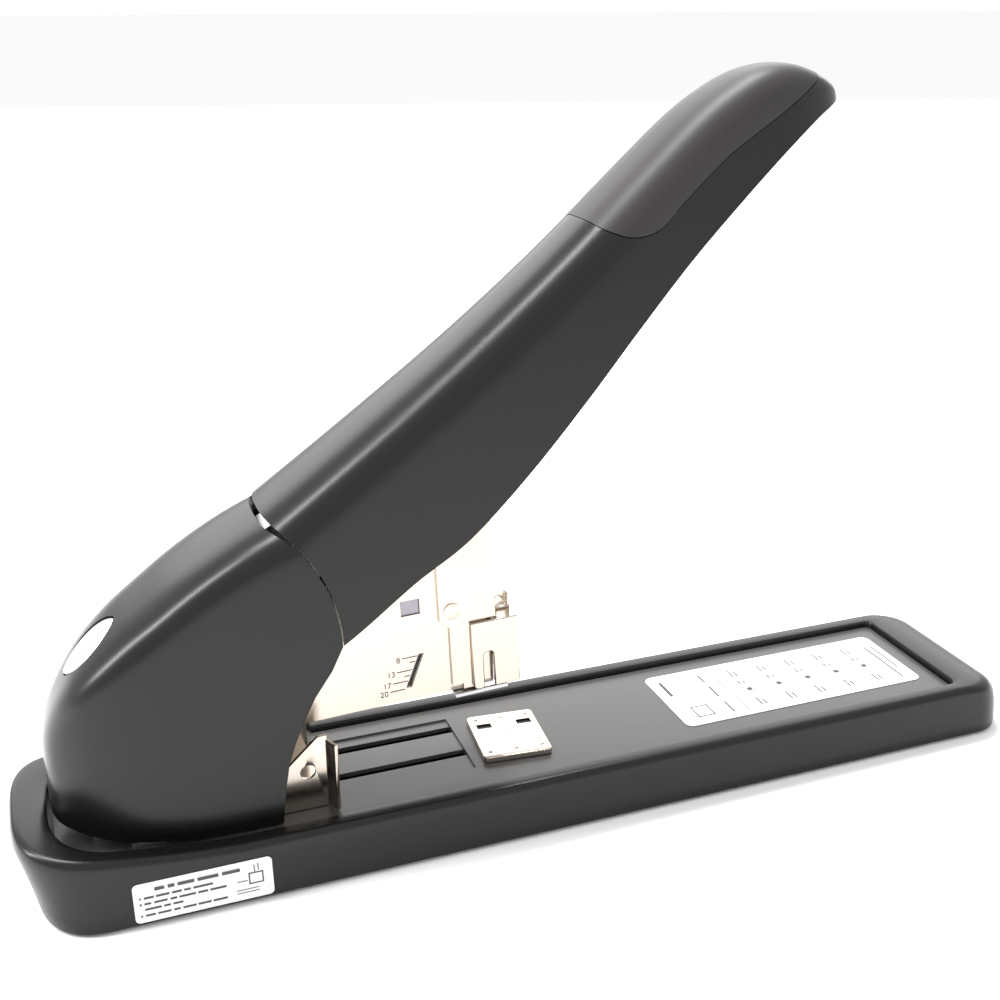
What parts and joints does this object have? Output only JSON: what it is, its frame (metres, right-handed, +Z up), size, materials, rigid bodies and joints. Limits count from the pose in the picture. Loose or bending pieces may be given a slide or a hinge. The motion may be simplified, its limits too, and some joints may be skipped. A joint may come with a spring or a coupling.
{
  "type": "heavy-duty stapler",
  "caption": "Long-lever heavy-duty desk stapler with a pivoting head, front-sliding magazine, turning anvil, paper guide and a rear release button.",
  "frame": {"origin": "middle of the base's underside, on the table plane", "axes": "+X to the front end of the base, +Z up, the near side is -Y"},
  "size_m": [0.365, 0.072, 0.2463],
  "materials": {
    "black_plastic": "satin moulded plastic",
    "deck_coating": "satin dark grey coating on sheet steel",
    "grip_rubber": "soft-touch dark grey",
    "foot_rubber": "matt",
    "nickel": "bright nickel plate",
    "zinc_steel": "dull zinc plate",
    "hard_steel": "ground steel",
    "button_silver": "silver painted plastic",
    "label_white": "printed label",
    "mark_black": "engraved and filled marks",
    "pad_grey": "moulded plastic"
  },
  "bodies": {
    "base": {"base_shell": "black_plastic", "deck_plate": "deck_coating", "bottom_plate": "zinc_steel", "rubber_feet": "foot_rubber", "bottom_screws": "zinc_steel", "frame_left": "zinc_steel", "frame_right": "zinc_steel", "frame_screws": "zinc_steel", "rear_housing": "black_plastic", "housing_screws": "zinc_steel", "lever_pin": "hard_steel", "head_pin": "hard_steel", "pin_clips": "hard_steel", "spring_seat": "zinc_steel", "return_spring": "hard_steel", "anvil_rivet": "nickel", "deck_label": "label_white", "side_label": "label_white"},
    "anvil": {"anvil_plate": "nickel"},
    "guide": {"paper_guide": "nickel", "guide_slider": "black_plastic", "guide_rivets": "nickel"},
    "head": {"head_left": "nickel", "head_right": "nickel", "head_spacers": "zinc_steel", "front_channel": "nickel", "channel_rivets": "nickel", "leg_scale": "mark_black", "window_pads": "pad_grey"},
    "magazine": {"nose_cap": "nickel", "nose_block": "hard_steel", "magazine_rail": "zinc_steel", "latch_tab": "nickel", "pusher_rod": "hard_steel"},
    "pusher": {"staple_pusher": "black_plastic"},
    "driver": {"driver_carrier": "hard_steel", "driver_blade": "hard_steel", "driver_rivets": "zinc_steel"},
    "lever": {"handle_shell": "black_plastic", "handle_grip": "grip_rubber", "handle_lever": "zinc_steel", "handle_cover": "black_plastic", "handle_screws": "zinc_steel", "press_roller": "hard_steel", "roller_pin": "hard_steel"},
    "button": {"release_button": "button_silver"}
  },
  "joints": [
    {"name": "lever_hinge", "type": "hinge", "parent": "base", "child": "lever", "pos_m": [-0.133, 0, 0.077], "axis": [0, -1, 0], "range_deg": [-23.5, 0], "stiffness_Nm_per_rad": 3, "springref_deg": 28.65},
    {"name": "head_hinge", "type": "hinge", "parent": "base", "child": "head", "pos_m": [-0.15, 0, 0.026], "axis": [0, -1, 0], "range_deg": [-10.4, 0], "stiffness_Nm_per_rad": 2, "springref_deg": 22.92, "deforming": ["return_spring"]},
    {"name": "driver_slide", "type": "slide", "parent": "head", "child": "driver", "axis": [-0.0419, 0, 0.9991], "range_m": [-0.0225, 0]},
    {"name": "magazine_slide", "type": "slide", "parent": "head", "child": "magazine", "axis": [0.9991, 0, 0.0419], "range_m": [0, 0.06]},
    {"name": "pusher_slide", "type": "slide", "parent": "magazine", "child": "pusher", "axis": [0.9991, 0, 0.0419], "range_m": [-0.075, 0], "stiffness_N_per_m": 40, "springref_m": 0.05},
    {"name": "guide_slide", "type": "slide", "parent": "base", "child": "guide", "axis": [1, 0, 0], "range_m": [0, 0.04]},
    {"name": "anvil_turn", "type": "hinge", "parent": "base", "child": "anvil", "pos_m": [-0.0129, -0.0009, 0.0182], "axis": [0, 0, 1], "range_deg": [0, 180]},
    {"name": "button_press", "type": "slide", "parent": "base", "child": "button", "axis": [-0.682, 0, 0.7314], "range_m": [-0.003, 0], "stiffness_N_per_m": 400, "springref_m": 0.002}
  ],
  "couplings": [
    {"joint": "head_hinge", "follows": "lever_hinge", "ratio": 0.44254},
    {"joint": "driver_slide", "follows": "lever_hinge", "m_per_rad": 0.05485}
  ]
}
